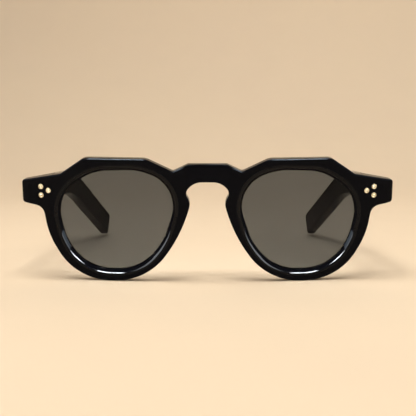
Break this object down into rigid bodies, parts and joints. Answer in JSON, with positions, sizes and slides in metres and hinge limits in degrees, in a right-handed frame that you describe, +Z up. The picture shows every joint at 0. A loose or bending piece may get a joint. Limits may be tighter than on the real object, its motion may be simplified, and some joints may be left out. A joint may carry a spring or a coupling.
{
  "type": "round sunglasses",
  "caption": "Round-eyed sunglasses with a keyhole bridge, riveted hinges and folding temples, standing open on the rims and temple tips.",
  "frame": {"origin": "centre of the footprint of the open sunglasses, on the surface they stand on", "axes": "+X to the wearer's left, +Y from the front towards the temple tips, +Z up"},
  "size_m": [0.1456, 0.1547, 0.049],
  "materials": {
    "acetate": "polished black cellulose acetate",
    "lens": "grey-brown tinted lens, polished",
    "rivet": "pale gold rivet ends, polished flush",
    "hinge": "nickel silver, satin",
    "screw": "steel, bright",
    "core_wire": "nickel silver wire, drawn"
  },
  "bodies": {
    "front": {"front_frame": "acetate", "lens_left": "lens", "lens_right": "lens", "nose_pad_left": "acetate", "nose_pad_right": "acetate", "front_leaf_left": "hinge", "front_leaf_right": "hinge", "hinge_screw_left": "screw", "hinge_screw_right": "screw", "front_rivet_left_upper": "rivet", "front_rivet_left_middle": "rivet", "front_rivet_left_lower": "rivet", "front_rivet_right_upper": "rivet", "front_rivet_right_middle": "rivet", "front_rivet_right_lower": "rivet"},
    "left_arm": {"temple_left": "acetate", "core_wire_left": "core_wire", "temple_leaf_left": "hinge", "temple_rivet_left_front": "rivet", "temple_rivet_left_rear": "rivet"},
    "right_arm": {"temple_right": "acetate", "core_wire_right": "core_wire", "temple_leaf_right": "hinge", "temple_rivet_right_front": "rivet", "temple_rivet_right_rear": "rivet"}
  },
  "joints": [
    {"name": "left_fold", "type": "hinge", "parent": "front", "child": "left_arm", "pos_m": [0.0686, -0.06154, 0.03608], "axis": [0, -0.1392, 0.9903], "range_deg": [0, 84]},
    {"name": "right_fold", "type": "hinge", "parent": "front", "child": "right_arm", "pos_m": [-0.0686, -0.06154, 0.03608], "axis": [0, 0.1392, -0.9903], "range_deg": [0, 89]}
  ]
}
